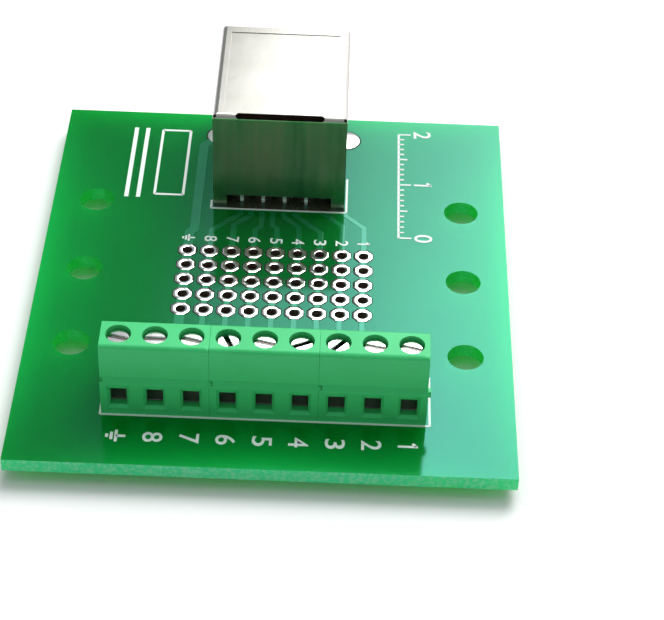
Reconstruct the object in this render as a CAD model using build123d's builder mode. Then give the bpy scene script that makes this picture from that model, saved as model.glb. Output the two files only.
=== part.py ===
"""Ethernet breakout board: a shielded modular jack wired through a pad grid to nine screw terminals.

Frame: +Z up, millimetres. The origin is below the middle of the whole board, level with the tips of
the soldered leads that it stands on. +X runs to the right along the row of terminals, and +Y runs
from the terminals to the jack, whose port faces +Y.
"""

import math
import os

from build123d import *

os.makedirs("parts", exist_ok=True)

# ---- Circuit board -------------------------------------------------------------------------------
board_length = 53.4  # along X
board_depth = 60.7  # along Y
board_thickness = 1.6
copper_height = 0.05  # the pads stand this far above the laminate
lead_length = 1.6  # how far every lead reaches below the board
jack_overhang = 0.3  # of the jack's front past the far edge

mount_span_x = 43.2  # between the two rows of mounting holes
mount_pitch_y = 12.5
mount_shift_y = 0.25  # of the middle pair from the middle of the board
mount_hole_r = 2.0

# ---- Plated pad grid: one column for each wire, and one for the shield ---------------------------
grid_columns = 9
grid_rows = 5
grid_pitch = 2.54
grid_shift_y = -1.0  # of the grid's middle from the middle of the board
grid_hole_across = 1.2
pad_across = 2.0  # across the flats of an octagonal pad
pad_sides = 8  # the same for a pad, its small hole and a solder cone
round_sides = 18  # flats on the screws' holes and the shield pads

# ---- Screw terminals: three interlocked blocks of three poles ------------------------------------
block_count = 3
poles_per_block = 3
pole_pitch = 3.81
block_setback = 7.3  # of the block's foot from the near edge
block_depth = 7.2
block_height = 9.0
block_joint = 0.02  # gap between two blocks
foot_height = 4.35
foot_slope = 0.55  # rise of the sloped ledge over the foot
face_setback = 0.5  # of the upper front face from the foot
face_draft = 0.12
top_width = 4.0
shoulder_height = 5.3
shoulder_setback = 5.7
shoulder_drop = 1.3  # from the shoulder down to the top of the upright back

catch_reach = 0.3  # of the interlock out of the block's right end
catch_clearance = 0.05
hook_setback = 0.45  # middle of the front hook from the foot's front
hook_depth = 0.6
hook_height = 0.8
rib_setback = 5.6  # middle of the rear rib from the foot's front
rib_depth = 1.2
rib_height = 3.2
rib_middle = 2.6  # height of the rib's middle

throat_width = 1.75
throat_height = 2.25
throat_middle = 2.225  # height of the wire entry's middle
mouth_rise = 0.75  # how far the mouth opens out over the throat
mouth_drop = 0.25  # the same below it
mouth_spread = 0.28  # the same on both sides
mouth_depth = 0.35

screw_setback = 2.69  # of the screw's axis from the foot's front
screw_hole_r = 1.33
head_r = 1.16
head_recess = 0.5
slot_width = 0.42
slot_depth = 0.5
slot_angles = (-14, 0, -15, -66, -15, 27, 49, -12, -16)
thread_r = 1.0  # M2
thread_clearance = 0.05
shank_sides = 8

cage_width = 2.5
cage_depth = 3.0
cage_wall = 0.3
cage_floor = 0.6
cage_crown = 1.1
cage_window = 3.3
cage_lift = 0.5  # height of the open cage over the board
cage_travel = 1.6
cage_clearance = 0.1
stack_gap = 0.1  # between cage and head when closed, and between screw and tongue

tongue_height = 3.5  # underside of the contact's tongue over the board
strip_thickness = 0.6
strip_width = 1.0
strip_bend = 0.5  # flat across the outside of the strip's bend
strip_leg_setback = 4.6  # middle of the leg from the foot's front

# ---- Modular jack --------------------------------------------------------------------------------
jack_width = 15.5
jack_height = 13.1
jack_depth = 18.15
sheet = 0.25
sheet_bend_r = 0.6
jack_fit = 0.05  # between the shell and the housing in it
slot_length = 10.2
slot_height = 0.73
slot_inset = 0.11  # of the slot's middle from the rear edge, over the top
notch_width = 12.3
notch_height = 1.58
corner_hole = 0.4  # across the flats of the relief hole in each rear corner
corner_sides = 6
rear_edge = 0.2  # chamfer down each side of the back
panel_border = 1.2  # round the sunk panel in the top
panel_depth = 0.08
shield_leg_width = 1.5
shield_pad_r = 1.75
shield_leg_from_row = 12.2

rear_row_inset = 1.35  # of the rear contact legs from the jack's back
row_spacing = 2.54
leg_pitch = 1.27
contact_count = 8
contact_pitch = 1.016
wire = 0.44
wire_height = 11.2  # of the contacts' upper run over the board
hairpin_r = 0.5
hairpin_sides = 10  # flats on a whole turn of the bend
hairpin_setback = 4.0  # middle of the bend from the jack's front
tail_slope = 17.0  # degrees, downwards from the bend to the free end
tail_length = 7.3
wire_rear_lap = 0.4  # from the port's end to where the contacts start to draw together
wire_front_run = 5.2  # where they have reached the pitch of the port, from the jack's front

port_width = 11.8
port_floor = 3.5
port_top = 10.5
port_end = 4.55  # of the port from the jack's back
latch_width = 6.3
latch_floor = 2.2
catch_slot_width = 3.4
catch_slot_floor = 1.3
pocket_top = 11.75
pocket_width = 10.0
comb_slot = 0.62
comb_front = 2.2
carrier_width = 11.4
leg_clearance = 0.06  # between the rear legs and the carrier's back
groove = 0.56
peg_spacing = 11.43
peg_from_row = 8.89
peg_r = 1.55
peg_clearance = 0.07
peg_length = 1.2  # below the board
peg_point = 0.35
peg_sides = 12

solder_top = 1.9  # across the flats of a solder cone, at the board
solder_bottom = 1.2
solder_height = 1.0

# ---- Places worked out from the sizes above ------------------------------------------------------
underside = lead_length
deck = lead_length + board_thickness  # top of the laminate
seat = deck + copper_height  # the parts on the board stand level with its pads
board_y = -jack_overhang / 2
near_edge = board_y - board_depth / 2
far_edge = board_y + board_depth / 2
grid_y = board_y + grid_shift_y
mount_y = board_y + mount_shift_y

foot_y = near_edge + block_setback
screw_y = foot_y + screw_setback
strip_y = foot_y + strip_leg_setback
pole_count = block_count * poles_per_block
block_length = poles_per_block * pole_pitch - block_joint
pole_x = [(i - (pole_count - 1) / 2) * pole_pitch for i in range(pole_count)]

jack_front = far_edge + jack_overhang
jack_back = jack_front - jack_depth
rear_row_y = jack_back + rear_row_inset
front_row_y = rear_row_y + row_spacing
peg_y = rear_row_y + peg_from_row
peg_places = [(-peg_spacing / 2, peg_y), (peg_spacing / 2, peg_y)]
shield_leg_y = rear_row_y + shield_leg_from_row
shield_leg_x = jack_width / 2 - sheet / 2
port_depth = jack_depth - port_end
wire_rear_run = port_depth - wire_rear_lap

# Contact 8 is on the left and contact 1 on the right, in two staggered rows.
contact_numbers = range(contact_count, 0, -1)


def contact_leg_x(number):
    """Where a contact's leg goes through the board."""
    return ((contact_count + 1) / 2 - number) * leg_pitch


def contact_port_x(number):
    """Where the same contact lies in the port."""
    return ((contact_count + 1) / 2 - number) * contact_pitch


def contact_row_y(number):
    """Even contacts stand in the rear row and odd ones in the front row."""
    return rear_row_y if number % 2 == 0 else front_row_y


def flat_sided(across, sides, mode=Mode.ADD):
    """A regular polygon by its width across flats, with a flat upwards, for the sketch that is open."""
    RegularPolygon(across / 2, sides, major_radius=False, rotation=90 + 180 / sides, mode=mode)


# ---- Circuit board: laminate, pads and holes -----------------------------------------------------
strip_feet = [(x, strip_y) for x in pole_x]
contact_feet = [(contact_leg_x(n), contact_row_y(n)) for n in contact_numbers]
shield_feet = [(-shield_leg_x, shield_leg_y), (shield_leg_x, shield_leg_y)]


def lead_sections():
    """The section of every lead where it goes through the board, for the sketch that is open."""
    with Locations(*strip_feet):
        Rectangle(strip_width, strip_thickness)
    with Locations(*contact_feet):
        Rectangle(wire, wire)
    with Locations(*shield_feet):
        Rectangle(sheet, shield_leg_width)


with BuildPart() as board:
    with BuildSketch(Plane.XY.offset(underside)):
        with Locations((0, board_y)):
            Rectangle(board_length, board_depth)
    extrude(amount=board_thickness)

    # Octagonal pads round the plated holes, and a round pad for each leg of the jack's shell.
    with BuildSketch(Plane.XY.offset(deck)):
        with Locations((0, grid_y)):
            with GridLocations(grid_pitch, grid_pitch, grid_columns, grid_rows):
                flat_sided(pad_across, pad_sides)
        with Locations(*shield_feet):
            flat_sided(2 * shield_pad_r, round_sides)
    extrude(amount=copper_height)
    with BuildSketch(Plane.XY.offset(underside)):
        with Locations((0, grid_y)):
            with GridLocations(grid_pitch, grid_pitch, grid_columns, grid_rows):
                flat_sided(grid_hole_across, pad_sides)
    extrude(amount=board_thickness + copper_height, mode=Mode.SUBTRACT)

    # Mounting holes, and the holes that the jack's pegs snap into.
    with BuildSketch(Plane.XY.offset(underside)):
        with Locations((0, mount_y)):
            with GridLocations(mount_span_x, mount_pitch_y, 2, 3):
                Circle(mount_hole_r)
        with Locations(*peg_places):
            flat_sided(2 * (peg_r + peg_clearance), peg_sides)
    extrude(amount=board_thickness, mode=Mode.SUBTRACT)

    # Lead holes, which solder closes on to each lead.
    with BuildSketch(Plane.XY.offset(underside)):
        lead_sections()
    extrude(amount=board_thickness + copper_height, mode=Mode.SUBTRACT)
board.part.label = "circuit_board"
export_step(board.part, "parts/circuit_board.step")


# ---- Solder cones on the underside, one round each lead ------------------------------------------
solder_angle = math.degrees(math.atan((solder_top - solder_bottom) / 2 / solder_height))
with BuildPart() as cone:
    with BuildSketch(Plane.XY.offset(underside)):
        flat_sided(solder_top, pad_sides)
    extrude(amount=-solder_height)
    flanks = cone.faces().filter_by(Axis.Z, reverse=True)
    draft(flanks, neutral_plane=Plane.XY.offset(underside), angle=-solder_angle)

with BuildPart() as solder:
    with Locations(*strip_feet, *contact_feet, *shield_feet):
        add(cone.part)
    with BuildSketch(Plane.XY.offset(underside)):
        lead_sections()
    extrude(amount=-solder_height, mode=Mode.SUBTRACT)
solder.part.label = "solder_joints"
export_step(solder.part, "parts/solder_joints.step")


# ---- Terminal blocks -----------------------------------------------------------------------------
chamber_top = cage_lift + cage_floor + cage_window + cage_crown + cage_travel + stack_gap
head_under = chamber_top
head_top = block_height - head_recess


def interlock(clearance):
    """The section of a block's hook and rib, grown by a clearance, for the sketch that is open."""
    with Locations((foot_y + hook_setback, seat + foot_height)):
        Rectangle(hook_depth + 2 * clearance, hook_height + 2 * clearance)
    with Locations((foot_y + rib_setback, seat + rib_middle)):
        Rectangle(rib_depth + 2 * clearance, rib_height + 2 * clearance)


def terminal_block(middle_x):
    """One moulded block of three poles, its section run along the row and hollowed for each pole."""
    left = middle_x - block_length / 2
    right = middle_x + block_length / 2
    poles = [middle_x + (i - (poles_per_block - 1) / 2) * pole_pitch for i in range(poles_per_block)]
    front_top = face_setback + face_draft
    with BuildPart() as block:
        with BuildSketch(Plane.YZ.offset(left)):
            with Locations((foot_y, seat)):
                Polygon(
                    (0, 0),
                    (block_depth, 0),
                    (block_depth, shoulder_height - shoulder_drop),
                    (shoulder_setback, shoulder_height),
                    (front_top + top_width, block_height),
                    (front_top, block_height),
                    (face_setback, foot_height + foot_slope),
                    (0, foot_height),
                    align=None,
                )
        extrude(amount=block_length)

        # Chamber for each clamp cage, open below, and the way down for the contact's leg.
        with BuildSketch(Plane.XY.offset(seat)):
            with Locations(*[(x, screw_y) for x in poles]):
                Rectangle(cage_width + 2 * cage_clearance, cage_depth + 2 * cage_clearance)
        extrude(amount=chamber_top, mode=Mode.SUBTRACT)
        with BuildSketch(Plane.XY.offset(seat)):
            channel_end = strip_y + strip_thickness / 2 + cage_clearance / 2
            with Locations(*[(x, (screw_y + channel_end) / 2) for x in poles]):
                Rectangle(strip_width + cage_clearance, channel_end - screw_y)
        extrude(amount=tongue_height + strip_thickness + cage_clearance / 2, mode=Mode.SUBTRACT)

        # Hole over each screw's head.
        with BuildSketch(Plane.XY.offset(seat + chamber_top)):
            with Locations(*[(x, screw_y) for x in poles]):
                flat_sided(2 * screw_hole_r, round_sides)
        extrude(amount=block_height - chamber_top, mode=Mode.SUBTRACT)

        # Wire entries: a throat into each chamber, opened out to a funnel at the front.
        front = Plane(origin=(0, foot_y, seat + throat_middle), x_dir=(1, 0, 0), z_dir=(0, -1, 0))
        with BuildSketch(front):
            with Locations(*[(x, 0) for x in poles]):
                Rectangle(throat_width, throat_height)
        extrude(amount=foot_y - screw_y, mode=Mode.SUBTRACT)
        for axis, level, spread in (
            (Axis.X, 0, mouth_drop),
            (Axis.X, -1, mouth_rise),
            (Axis.Z, -1, mouth_spread),
        ):
            foot_face = block.faces().filter_by(Axis.Y).sort_by(Axis.Y)[0]
            rims = foot_face.inner_wires().edges().filter_by(axis).group_by(Axis.Z)[level]
            chamfer(rims, length=spread, length2=mouth_depth, reference=foot_face)

        # Interlock with the next block: hook and rib on the right end, their grooves in the left.
        with BuildSketch(Plane.YZ.offset(right)):
            interlock(0)
        extrude(amount=catch_reach)
        with BuildSketch(Plane.YZ.offset(left)):
            interlock(catch_clearance)
        extrude(amount=catch_reach + catch_clearance, mode=Mode.SUBTRACT)
    return block.part


for index in range(block_count):
    middle = (index - (block_count - 1) / 2) * poles_per_block * pole_pitch
    housing = terminal_block(middle)
    housing.label = f"terminal_block_{index + 1}"
    export_step(housing, f"parts/{housing.label}.step")


# ---- One clamp for each pole: screw, rising cage and contact strip -------------------------------
def clamp_screw(x, slot_angle):
    """A slotted screw with its plain shank, standing on the contact's tongue."""
    shank_foot = tongue_height + strip_thickness + stack_gap
    with BuildPart() as screw:
        with BuildSketch(Plane.XY.offset(seat + head_under)):
            with Locations((x, screw_y)):
                Circle(head_r)
        extrude(amount=head_top - head_under)
        with BuildSketch(Plane.XY.offset(seat + shank_foot)):
            with Locations((x, screw_y)):
                RegularPolygon(thread_r - thread_clearance, shank_sides)
        extrude(amount=head_under - shank_foot)
        with BuildSketch(Plane.XY.offset(seat + head_top - slot_depth)):
            with Locations((x, screw_y)):
                Rectangle(3 * head_r, slot_width, rotation=slot_angle)
        extrude(amount=slot_depth, mode=Mode.SUBTRACT)
    return screw.part


def clamp_cage(x):
    """A square cage open to the wire, with a threaded crown that the screw lifts it by."""
    height = cage_floor + cage_window + cage_crown
    foot = seat + cage_lift
    with BuildPart() as cage:
        with BuildSketch(Plane.XY.offset(foot)):
            with Locations((x, screw_y)):
                Rectangle(cage_width, cage_depth)
        extrude(amount=height)
        with BuildSketch(Plane.XZ.offset(-screw_y)):
            with Locations((x, foot + cage_floor + cage_window / 2)):
                Rectangle(cage_width - 2 * cage_wall, cage_window)
        extrude(amount=cage_depth, both=True, mode=Mode.SUBTRACT)
        with BuildSketch(Plane.XY.offset(foot + height - cage_crown)):
            with Locations((x, screw_y)):
                flat_sided(2 * thread_r, shank_sides)
        extrude(amount=cage_crown, mode=Mode.SUBTRACT)
    return cage.part


def contact_strip(x):
    """A bent strip: its tongue lies through the cage and its leg goes down through the board."""
    tongue_start = screw_y - cage_depth / 2
    leg_back = strip_y + strip_thickness / 2
    top = seat + tongue_height + strip_thickness
    with BuildPart() as strip:
        with BuildSketch(Plane.YZ.offset(x - strip_width / 2)):
            with Locations(((tongue_start + leg_back) / 2, top - strip_thickness / 2)):
                Rectangle(leg_back - tongue_start, strip_thickness)
            with Locations((strip_y, top / 2)):
                Rectangle(strip_thickness, top)
            corner = vertices().group_by(Axis.Y)[-1].sort_by(Axis.Z)[-1]
            chamfer(corner, length=strip_bend)
        extrude(amount=strip_width)
    return strip.part


for index, x in enumerate(pole_x):
    for name, piece in (
        ("clamp_screw", clamp_screw(x, slot_angles[index])),
        ("clamp_cage", clamp_cage(x)),
        ("contact_strip", contact_strip(x)),
    ):
        piece.label = f"{name}_{index + 1}"
        export_step(piece, f"parts/{piece.label}.step")


# ---- Jack shell: one folded sheet ----------------------------------------------------------------
jack_middle_y = (jack_front + jack_back) / 2
window = Plane(origin=(0, jack_front, seat), x_dir=(-1, 0, 0), z_dir=(0, 1, 0))


def port_section():
    """The stepped section that the plug enters, for the sketch that is open on the window."""
    with Locations((0, (port_floor + port_top) / 2)):
        Rectangle(port_width, port_top - port_floor)
    with Locations((0, (latch_floor + port_floor) / 2)):
        Rectangle(latch_width, port_floor - latch_floor)
    with Locations((0, (catch_slot_floor + latch_floor) / 2)):
        Rectangle(catch_slot_width, latch_floor - catch_slot_floor)


with BuildPart() as shell:
    with BuildSketch(Plane.XY.offset(seat)):
        with Locations((0, jack_middle_y)):
            Rectangle(jack_width, jack_depth)
    extrude(amount=jack_height)
    rim = shell.faces().sort_by(Axis.Z)[-1].edges()
    fillet(rim.filter_by(Axis.Y) + rim.filter_by(Axis.X).sort_by(Axis.Y)[:1], radius=sheet_bend_r)
    with BuildSketch(Plane.XY.offset(seat)):
        with Locations((0, jack_middle_y)):
            Rectangle(jack_width - 2 * sheet, jack_depth - 2 * sheet)
    extrude(amount=jack_height - sheet, mode=Mode.SUBTRACT)

    # Sunk panel in the top.
    with BuildSketch(Plane.XY.offset(seat + jack_height)):
        with Locations((0, jack_middle_y)):
            Rectangle(jack_width - 2 * panel_border, jack_depth - 2 * panel_border)
    extrude(amount=-panel_depth, mode=Mode.SUBTRACT)

    # Stepped window for the plug in the front frame.
    with BuildSketch(window):
        port_section()
    extrude(amount=-sheet, mode=Mode.SUBTRACT)

    # Relief slot along the rear bend, a hole in each corner, and the notch over the contact legs.
    shell_top = seat + jack_height
    bend = Plane(origin=(0, jack_back + slot_inset, shell_top), x_dir=(1, 0, 0), z_dir=(0, -1, 1))
    with BuildSketch(bend):
        SlotOverall(slot_length, slot_height)
    extrude(amount=-3 * sheet, mode=Mode.SUBTRACT)
    for side in (-1, 1):
        corner = Plane(origin=(side * jack_width / 2, jack_back, shell_top), z_dir=(side, -1, 1))
        with BuildSketch(corner):
            flat_sided(corner_hole, corner_sides)
        extrude(amount=-3 * sheet, mode=Mode.SUBTRACT)
    back = Plane(origin=(0, jack_back, seat), x_dir=(1, 0, 0), z_dir=(0, -1, 0))
    with BuildSketch(back):
        with Locations((0, notch_height / 2)):
            Rectangle(notch_width, notch_height)
    extrude(amount=-2 * sheet, mode=Mode.SUBTRACT)

    # Two legs, in line with the side walls, down through the board.
    with BuildSketch(Plane.XY.offset(seat)):
        with Locations(*shield_feet):
            Rectangle(sheet, shield_leg_width)
    extrude(amount=-seat)
shell.part.label = "jack_shell"
export_step(shell.part, "parts/jack_shell.step")


# ---- Jack housing: the moulding that the plug enters ---------------------------------------------
housing_half = jack_width / 2 - sheet - jack_fit
housing_front = jack_front - sheet - jack_fit
housing_back = jack_front - port_depth
housing_top = jack_height - sheet - jack_fit
with BuildPart() as insert:
    with BuildSketch(Plane.XY.offset(seat)):
        with Locations((0, (housing_front + housing_back) / 2)):
            Rectangle(2 * housing_half, housing_front - housing_back)
    extrude(amount=housing_top)

    # Port: plug cavity, latch step and the slot for the latch's catch.
    with BuildSketch(window):
        port_section()
    extrude(amount=-port_depth, mode=Mode.SUBTRACT)

    # Comb of slots that keeps the contacts apart, and the pocket behind it.
    comb = Plane.XY.offset(seat + port_top)
    with BuildSketch(comb):
        for number in contact_numbers:
            with Locations((contact_port_x(number), jack_front - (comb_front + wire_front_run) / 2)):
                Rectangle(comb_slot, wire_front_run - comb_front)
        with Locations((0, jack_front - (wire_front_run + port_depth) / 2)):
            Rectangle(pocket_width, port_depth - wire_front_run)
    extrude(amount=pocket_top - port_top, mode=Mode.SUBTRACT)

    # Pegs that snap into the board.
    with BuildSketch(Plane.XY.offset(seat)):
        with Locations(*peg_places):
            flat_sided(2 * peg_r, peg_sides)
    extrude(amount=deck - seat - board_thickness - peg_length)
    chamfer(insert.faces().filter_by(Axis.Z).group_by(Axis.Z)[0].edges(), length=peg_point)
insert.part.label = "jack_housing"
export_step(insert.part, "parts/jack_housing.step")


# ---- Contact carrier: the moulding behind the port that holds the wires --------------------------
carrier_back = rear_row_y + wire / 2 + leg_clearance
carrier_front = housing_back
carrier_length = carrier_front - carrier_back
with BuildPart() as carrier:
    with BuildSketch(Plane.XY.offset(seat)):
        with Locations((0, (carrier_front + carrier_back) / 2)):
            Rectangle(carrier_width, carrier_length)
    extrude(amount=housing_top)

    # A groove over the top for each wire, and one down the back for each leg of the front row.
    for number in contact_numbers:
        with BuildSketch(Plane.XY.offset(seat + wire_height - groove / 2)):
            with Locations((contact_leg_x(number), (carrier_back + carrier_front) / 2)):
                Rectangle(groove, carrier_length)
        extrude(amount=groove, mode=Mode.SUBTRACT)
        if contact_row_y(number) == front_row_y:
            slot_front = front_row_y + groove / 2
            with BuildSketch(Plane.XY.offset(seat)):
                with Locations((contact_leg_x(number), (slot_front + carrier_back) / 2)):
                    Rectangle(groove, slot_front - carrier_back)
            extrude(amount=wire_height + groove / 2, mode=Mode.SUBTRACT)
carrier.part.label = "contact_carrier"
export_step(carrier.part, "parts/contact_carrier.step")


# ---- Jack contacts: bent wires, each from its leg over the carrier and back into the port --------
def jack_contact(number):
    """A leg and upper run, a slanted run that draws the contacts together, and the sprung hairpin."""
    leg_x = contact_leg_x(number)
    port_x = contact_port_x(number)
    row = contact_row_y(number)
    top = seat + wire_height
    rear = jack_front - wire_rear_run
    front = jack_front - wire_front_run
    half = wire / 2
    bend_y = jack_front - hairpin_setback
    with BuildPart() as contact:
        with BuildSketch(Plane.YZ.offset(leg_x - half)):
            with Locations((row, (top + half) / 2)):
                Rectangle(wire, top + half)
            with Locations(((row + rear) / 2, top)):
                Rectangle(rear - row, wire)
        extrude(amount=wire)
        with BuildSketch(Plane.XY.offset(top - half)):
            Polygon(
                (leg_x - half, rear),
                (leg_x + half, rear),
                (port_x + half, front),
                (port_x - half, front),
                align=None,
            )
        extrude(amount=wire)
        with BuildSketch(Plane.YZ.offset(port_x - half)):
            with Locations((bend_y, top - hairpin_r)):
                flat_sided(2 * hairpin_r + wire, hairpin_sides)
                flat_sided(2 * hairpin_r - wire, hairpin_sides, Mode.SUBTRACT)
                Rectangle(
                    2 * hairpin_r,
                    4 * hairpin_r,
                    align=(Align.MAX, Align.CENTER),
                    mode=Mode.SUBTRACT,
                )
            with Locations(((front + bend_y) / 2, top)):
                Rectangle(bend_y - front, wire)
            with Locations((bend_y, top - 2 * hairpin_r)):
                Rectangle(tail_length, wire, rotation=tail_slope, align=(Align.MAX, Align.CENTER))
        extrude(amount=wire)
    return contact.part


for number in sorted(contact_numbers):
    piece = jack_contact(number)
    piece.label = f"jack_contact_{number}"
    export_step(piece, f"parts/{piece.label}.step")
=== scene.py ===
"""Looks of the ethernet breakout board: solder mask, ink, plating, moulded plastic and bright metal."""

import math

import bmesh
import bpy
from mathutils import Euler, Matrix, Vector

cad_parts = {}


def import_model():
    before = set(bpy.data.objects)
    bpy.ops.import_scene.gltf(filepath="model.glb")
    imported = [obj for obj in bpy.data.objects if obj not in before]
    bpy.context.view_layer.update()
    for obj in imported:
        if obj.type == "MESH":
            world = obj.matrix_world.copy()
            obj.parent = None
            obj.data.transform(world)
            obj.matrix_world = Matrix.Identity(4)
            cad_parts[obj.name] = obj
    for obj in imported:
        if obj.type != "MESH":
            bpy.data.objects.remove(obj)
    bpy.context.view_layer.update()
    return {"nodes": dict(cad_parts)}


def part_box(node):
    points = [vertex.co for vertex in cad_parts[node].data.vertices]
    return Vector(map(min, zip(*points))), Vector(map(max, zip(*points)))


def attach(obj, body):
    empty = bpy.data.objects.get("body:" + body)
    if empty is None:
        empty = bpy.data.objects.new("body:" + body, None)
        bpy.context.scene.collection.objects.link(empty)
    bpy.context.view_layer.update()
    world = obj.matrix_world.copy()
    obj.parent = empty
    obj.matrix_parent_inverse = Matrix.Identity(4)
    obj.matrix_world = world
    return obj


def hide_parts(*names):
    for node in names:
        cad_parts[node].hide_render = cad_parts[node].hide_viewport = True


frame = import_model()
nodes = frame["nodes"]
mm = 0.001  # lengths are in metres, and this writes them in millimetres

# ---- Places read from the frame --------------------------------------------------------------------
POLES = 9
CONTACTS = 8
board_low, board_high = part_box("circuit_board")
copper = 0.05 * mm
pad_top = board_high.z
deck = pad_top - copper  # the laminate's own top, which the pads stand above
underside = board_low.z
middle_y = (board_low.y + board_high.y) / 2

shell_low, shell_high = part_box("jack_shell")
block_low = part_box("terminal_block_1")[0]
block_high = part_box("terminal_block_3")[1]


def middle(node):
    """The middle of a node's box."""
    low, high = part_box(node)
    return (low + high) / 2


pole_x = [middle(f"clamp_screw_{i + 1}").x for i in range(POLES)]
screw_y = middle("clamp_screw_1").y
strip_half = 0.3 * mm
strip_leg_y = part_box("contact_strip_1")[1].y - strip_half

grid_pitch = 2.54 * mm
grid_rows = 5
grid_setback = 1.0 * mm
grid_middle_y = middle_y - grid_setback
column_x = [(i - (POLES - 1) / 2) * grid_pitch for i in range(POLES)]
row_y = [grid_middle_y + (i - (grid_rows - 1) / 2) * grid_pitch for i in range(grid_rows)]

wire_half = 0.22 * mm
leg_pitch = 1.27 * mm
# Where the leg of each of the jack's contacts goes through the board.
leg_place = {
    n: ((4.5 - n) * leg_pitch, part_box(f"jack_contact_{n}")[0].y + wire_half) for n in range(1, CONTACTS + 1)
}
sheet_half = 0.125 * mm
shield_leg_x = shell_high.x - sheet_half
shield_leg_y = 25.9 * mm


# ---- Nodes of a material ---------------------------------------------------------------------------
class Finish:
    """A material under construction: its principled shader and short ways to add nodes to it."""

    def __init__(self, name, colour, roughness, metallic=0.0):
        self.material = bpy.data.materials.new(name)
        self.material.use_nodes = True
        self.tree = self.material.node_tree
        self.shader = self.tree.nodes["Principled BSDF"]
        self.output = self.tree.nodes["Material Output"]
        self.set("Base Color", (*colour, 1.0))
        self.set("Roughness", roughness)
        self.set("Metallic", metallic)

    def set(self, socket, value):
        """Gives the shader a plain value."""
        self.shader.inputs[socket].default_value = value

    def node(self, kind, **values):
        """A new node of a kind, with some of its settings."""
        made = self.tree.nodes.new(kind)
        for name, value in values.items():
            setattr(made, name, value)
        return made

    def link(self, source, target):
        self.tree.links.new(source, target)

    def place(self, output="Object"):
        """Where the shaded point is, or with "Normal" which way it faces."""
        return self.node("ShaderNodeTexCoord").outputs[output]

    def axis(self, name, output="Object"):
        """One axis of the place or of the normal."""
        split = self.node("ShaderNodeSeparateXYZ")
        self.link(self.place(output), split.inputs["Vector"])
        return split.outputs[name]

    def maths(self, operation, first, second=0.5):
        """One step of arithmetic; the second value is a socket or a number, and ABSOLUTE needs none."""
        made = self.node("ShaderNodeMath", operation=operation)
        self.link(first, made.inputs[0])
        if isinstance(second, float):
            made.inputs[1].default_value = second
        else:
            self.link(second, made.inputs[1])
        return made.outputs[0]

    def stretched(self, scale):
        """Object coordinates, each axis by its own scale."""
        mapping = self.node("ShaderNodeMapping")
        mapping.inputs["Scale"].default_value = scale
        self.link(self.place(), mapping.inputs["Vector"])
        return mapping.outputs["Vector"]

    def noise(self, scale, detail, vector=None):
        """A noise pattern, its scale in turns a metre."""
        made = self.node("ShaderNodeTexNoise")
        made.inputs["Scale"].default_value = scale
        made.inputs["Detail"].default_value = detail
        self.link(vector or self.place(), made.inputs["Vector"])
        return made.outputs["Fac"]

    def ramp(self, factor, *stops):
        """A colour ramp over a factor, from (place, colour) stops."""
        made = self.node("ShaderNodeValToRGB")
        elements = made.color_ramp.elements
        while len(elements) < len(stops):
            elements.new(0.5)
        for element, (place, colour) in zip(elements, stops):
            element.position = place
            element.color = (*colour, 1.0)
        self.link(factor, made.inputs["Fac"])
        return made.outputs["Color"]

    def mix(self, factor, first, second):
        """Two colours mixed by a factor; each is a socket or a plain colour."""
        made = self.node("ShaderNodeMix", data_type="RGBA")
        self.link(factor, made.inputs["Factor"])
        for socket, colour in ((made.inputs[6], first), (made.inputs[7], second)):
            if isinstance(colour, tuple):
                socket.default_value = (*colour, 1.0)
            else:
                self.link(colour, socket)
        return made.outputs[2]

    def colour(self, socket):
        """Takes the base colour from a socket."""
        self.link(socket, self.shader.inputs["Base Color"])

    def bump(self, height, distance, strength):
        """Relief from a height pattern, its full height in metres."""
        made = self.node("ShaderNodeBump")
        made.inputs["Strength"].default_value = strength
        made.inputs["Distance"].default_value = distance
        self.link(height, made.inputs["Height"])
        self.link(made.outputs["Normal"], self.shader.inputs["Normal"])


def grey(value):
    return (value, value, value)


# ---- Solder mask, laminate and ink -----------------------------------------------------------------
# The mask over bare laminate, from cloud to cloud.
MASK_GREEN = (0.003, 0.23, 0.040)
MASK_DEEP = (0.003, 0.19, 0.032)
# Painted light and shade on the mask: lighter beside a sawn edge, darker in the board's corners and in the
# shade of the jack.
MASK_LIT = (0.009, 0.50, 0.105)
MASK_CORNER_SHADE = (0.001, 0.08, 0.016)
MASK_SHADED = (0.060, 0.062, 0.036)
# The mask over a copper track, from cloud to cloud.
COPPER_DEEP = (0.010, 0.215, 0.060)
COPPER_GREEN = (0.013, 0.25, 0.070)
MASK_SHEEN = (0.22, 0.95, 0.92, 1.0)
# Bare laminate, from resin to glass: sawn at the edges, and drilled in the holes.
EDGE_PALE = (0.11, 0.90, 0.44)
EDGE_LIGHT = (0.42, 0.98, 0.72)
HOLE_DEEP = (0.035, 0.48, 0.12)
HOLE_LIGHT = (0.11, 0.62, 0.21)
GLOW_THROUGH = (0.02, 0.95, 0.20, 1.0)
LIT_REACH = 8 * mm  # how far in from an edge the painted edge light reaches
SHADE_REACH = 0.45 * mm  # how far behind the jack its shade reaches


def glossy_mask(finish):
    """The wet-looking top coat of solder mask."""
    finish.set("Roughness", 0.11)
    finish.set("IOR", 1.65)
    finish.set("Specular IOR Level", 1.0)
    finish.set("Specular Tint", MASK_SHEEN)


def under_jack(finish):
    """Where the painted shade of the jack goes: one on the board's top under the jack and just behind it,
    nought elsewhere.
    """
    beneath = finish.maths("LESS_THAN", finish.maths("ABSOLUTE", finish.axis("X")), shell_high.x)
    within = finish.maths("GREATER_THAN", finish.axis("Y"), shell_low.y - SHADE_REACH)
    facing_up = finish.maths("GREATER_THAN", finish.axis("Z", "Normal"), 0.5)
    return finish.maths("MULTIPLY", facing_up, finish.maths("MULTIPLY", beneath, within))


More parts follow.
